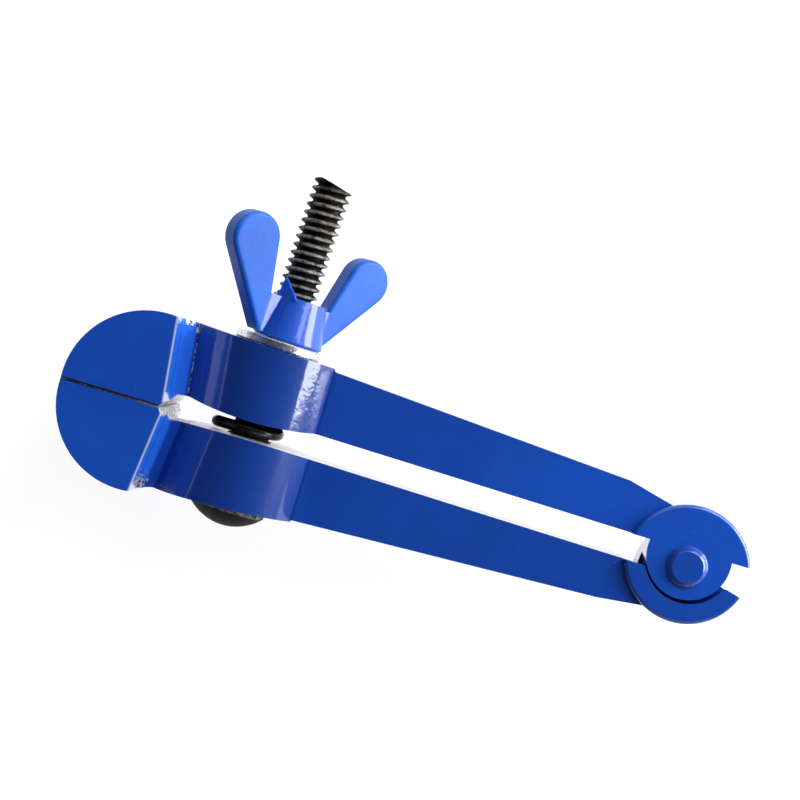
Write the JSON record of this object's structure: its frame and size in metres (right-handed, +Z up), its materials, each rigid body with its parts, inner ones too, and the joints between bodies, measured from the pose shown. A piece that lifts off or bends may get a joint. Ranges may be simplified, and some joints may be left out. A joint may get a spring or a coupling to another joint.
{
  "type": "hinged hand vise",
  "caption": "Hand clamp with two cast half-round jaws on a riveted lap hinge, closed by a wing nut on a carriage bolt and opened by a spring between the arms.",
  "frame": {"origin": "bottom centre of the closed tool's box, the tool lying on the flat sides of its jaws", "axes": "+X from the jaws to the hinge, +Y from the bolt's head to the wing nut, +Z up along the hinge pin"},
  "size_m": [0.1046, 0.0544, 0.032],
  "materials": {
    "arm_enamel": "gloss",
    "pin_enamel": "gloss",
    "nut_enamel": "satin",
    "black_oxide": "worn satin",
    "spring_steel": "oiled black",
    "zinc_plate": "bright"
  },
  "bodies": {
    "lower_arm": {"lower_arm": "arm_enamel", "hinge_pin": "pin_enamel", "carriage_bolt": "black_oxide", "compression_spring": "spring_steel"},
    "upper_arm": {"upper_arm": "arm_enamel"},
    "washer": {"flat_washer": "zinc_plate"},
    "nut": {"wing_nut": "nut_enamel"}
  },
  "joints": [
    {"name": "jaw_hinge", "type": "hinge", "parent": "lower_arm", "child": "upper_arm", "pos_m": [0.04316, -0.01298, 0.016], "axis": [0, 0, -1], "range_deg": [0, 11]},
    {"name": "washer_lift", "type": "slide", "parent": "lower_arm", "child": "washer", "axis": [0.0349, 0.9994, 0], "range_m": [0, 0.0148], "deforming": ["compression_spring"]},
    {"name": "nut_spin", "type": "hinge", "parent": "washer", "child": "nut", "pos_m": [-0.02469, -0.01298, 0.016], "axis": [0.0349, 0.9994, 0], "range_deg": [0, 4190]}
  ],
  "couplings": [
    {"joint": "washer_lift", "follows": "nut_spin", "m_per_rad": 0.00020213},
    {"joint": "jaw_hinge", "follows": "nut_spin", "ratio": 0.002625}
  ]
}
